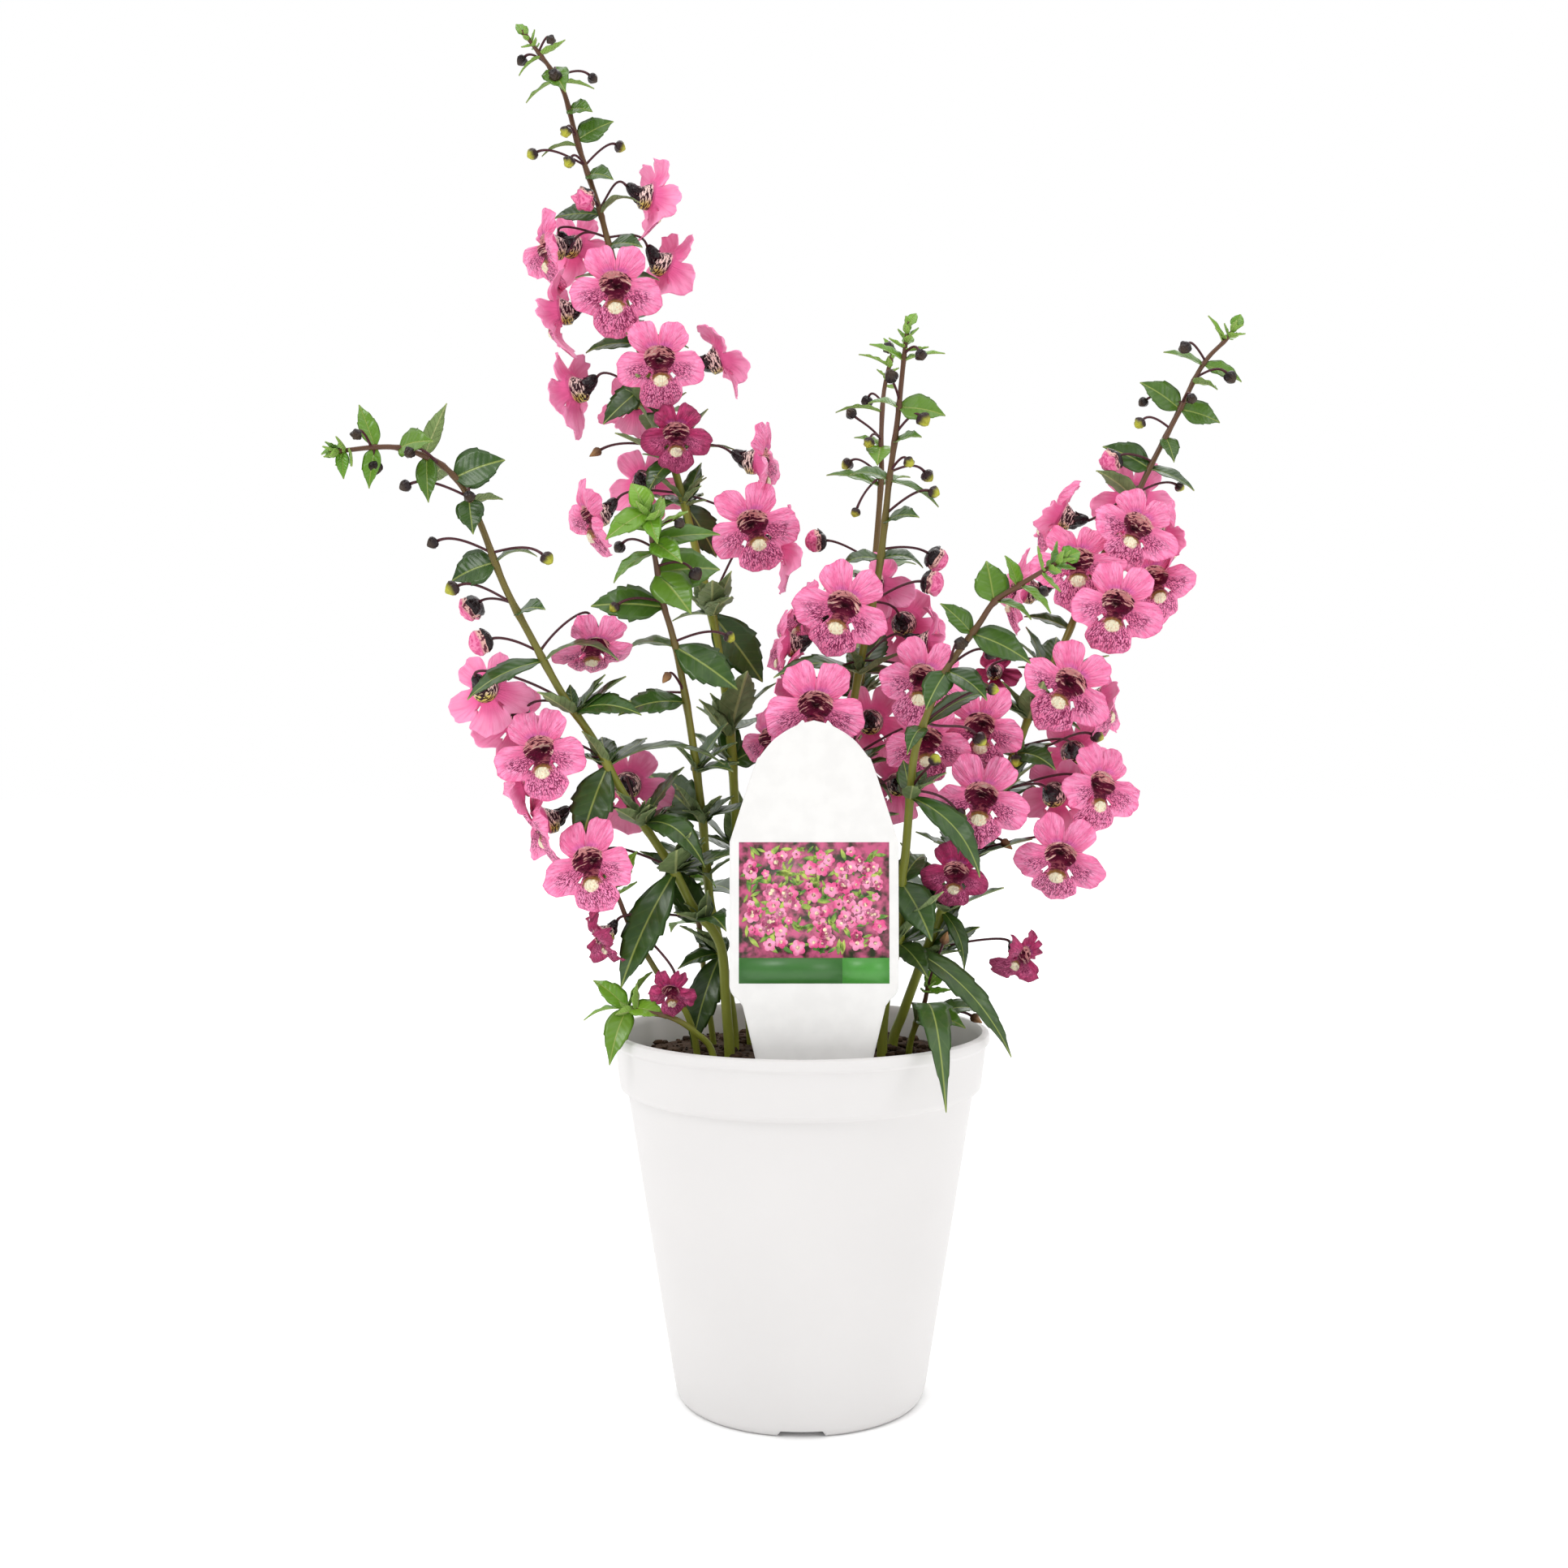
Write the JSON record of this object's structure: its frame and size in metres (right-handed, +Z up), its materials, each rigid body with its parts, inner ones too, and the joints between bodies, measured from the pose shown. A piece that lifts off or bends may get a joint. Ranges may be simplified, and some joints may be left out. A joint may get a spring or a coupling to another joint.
{
  "type": "potted flowering plant",
  "caption": "Upright summer snapdragon with pink lipped flowers and narrow toothed leaves, growing in a tapered white plastic pot with a plant tag.",
  "frame": {"origin": "centre of the pot's underside, on the pot's axis, at the level that the pot stands on", "axes": "+Z up along the pot's axis; -Y towards the side with the plant tag; +X to the right seen from that side"},
  "size_m": [0.2594, 0.1121, 0.403],
  "materials": {
    "pot": "smooth white plastic with a soft sheen",
    "soil": "dark crumbly potting mix",
    "tag": "smooth white plastic",
    "foliage": "satin green leaves and stems",
    "petals": "soft matt pink petals",
    "petals_aged": "aged magenta petals"
  },
  "bodies": {
    "root": {"bloom_a01": "petals", "bloom_a02": "petals", "bloom_a03": "petals", "bloom_a04": "petals", "bloom_a05": "petals", "bloom_a07": "petals", "bloom_a08": "petals", "bloom_a10": "petals", "bloom_a11": "petals_aged", "bloom_a12": "petals", "bloom_a15": "petals", "bloom_a16": "petals", "bloom_b01": "petals", "bloom_b02": "petals", "bloom_b06": "petals", "bloom_b07": "petals_aged", "bloom_b08": "petals", "bloom_b09": "petals", "bloom_d01": "petals", "bloom_d02": "petals", "bloom_d03": "petals", "bloom_d04": "petals", "bloom_d05": "petals", "bloom_d07": "petals", "bloom_d08": "petals", "bloom_d10": "petals", "bloom_d11": "petals", "bloom_d13": "petals", "bloom_f01": "petals", "bloom_f02": "petals", "bloom_f03": "petals", "bloom_f04": "petals", "bloom_f07": "petals", "bloom_f09": "petals", "bloom_f10": "petals", "bloom_f11": "petals", "bloom_f12": "petals_aged", "bloom_f13": "petals", "bloom_f14": "petals", "bloom_f15": "petals", "bloom_f16": "petals", "bloom_f17": "petals", "bloom_f18": "petals_aged", "bloom_f19": "petals_aged", "bloom_g01": "petals_aged", "pot": "pot", "soil": "soil", "stem_a": "foliage", "stem_b": "foliage", "stem_c": "foliage", "stem_d1": "foliage", "stem_d2": "foliage", "stem_e": "foliage", "stem_f": "foliage", "stem_g": "foliage", "stem_h": "foliage", "stem_i": "foliage", "stem_j": "foliage", "tag": "tag"}
  },
  "joints": []
}
